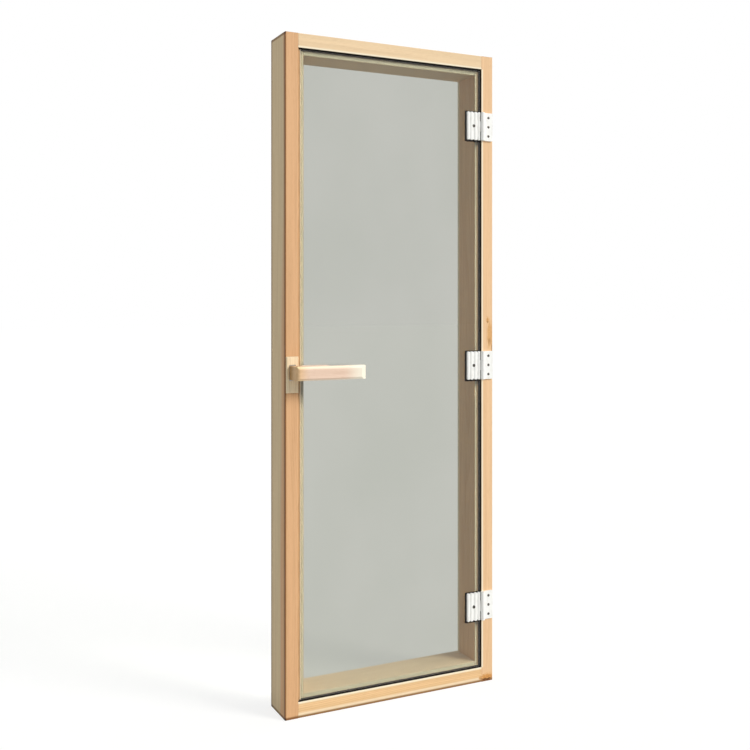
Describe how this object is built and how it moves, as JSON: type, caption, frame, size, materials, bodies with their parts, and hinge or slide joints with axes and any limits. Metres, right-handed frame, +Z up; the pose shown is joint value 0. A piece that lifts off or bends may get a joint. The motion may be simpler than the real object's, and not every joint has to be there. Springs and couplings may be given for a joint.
{
  "type": "sauna door",
  "caption": "Glass sauna door leaf on white hinges in a solid timber frame, with wooden pull handles inside and out and a magnetic catch.",
  "frame": {"origin": "middle of the sill's underside", "axes": "+X across the door towards the hinges, +Y from the front to the back, +Z up"},
  "size_m": [0.706, 0.183, 1.99],
  "materials": {
    "frame_timber": "planed, unfinished",
    "handle_timber": "sanded, unfinished",
    "seal_rubber": "matt",
    "glass": "clear, polished",
    "white_metal": "satin white powder coat",
    "steel": "satin"
  },
  "bodies": {
    "frame": {"jamb_left": "frame_timber", "jamb_right": "frame_timber", "head": "frame_timber", "sill": "frame_timber", "seal_left": "seal_rubber", "seal_right": "seal_rubber", "seal_head": "seal_rubber", "seal_sill": "seal_rubber", "keeper_plate": "handle_timber", "strike_plate": "steel", "hinge_frame_leaf_top": "white_metal", "hinge_frame_leaf_middle": "white_metal", "hinge_frame_leaf_bottom": "white_metal", "hinge_pin_top": "steel", "hinge_pin_middle": "steel", "hinge_pin_bottom": "steel"},
    "leaf": {"glass_pane": "glass", "handle_outer": "handle_timber", "handle_inner": "handle_timber", "handle_pads": "seal_rubber", "handle_bolts": "steel", "handle_magnet": "steel", "hinge_glass_leaf_top": "white_metal", "hinge_glass_leaf_middle": "white_metal", "hinge_glass_leaf_bottom": "white_metal", "hinge_back_plate_top": "white_metal", "hinge_back_plate_middle": "white_metal", "hinge_back_plate_bottom": "white_metal", "hinge_gaskets_top": "seal_rubber", "hinge_gaskets_middle": "seal_rubber", "hinge_gaskets_bottom": "seal_rubber", "hinge_clamp_screw_top": "steel", "hinge_clamp_screw_middle": "steel", "hinge_clamp_screw_bottom": "steel"}
  },
  "joints": [
    {"name": "door_hinge", "type": "hinge", "parent": "frame", "child": "leaf", "pos_m": [0.312, -0.0665, 1.0075], "axis": [0, 0, 1], "range_deg": [0, 120]}
  ]
}
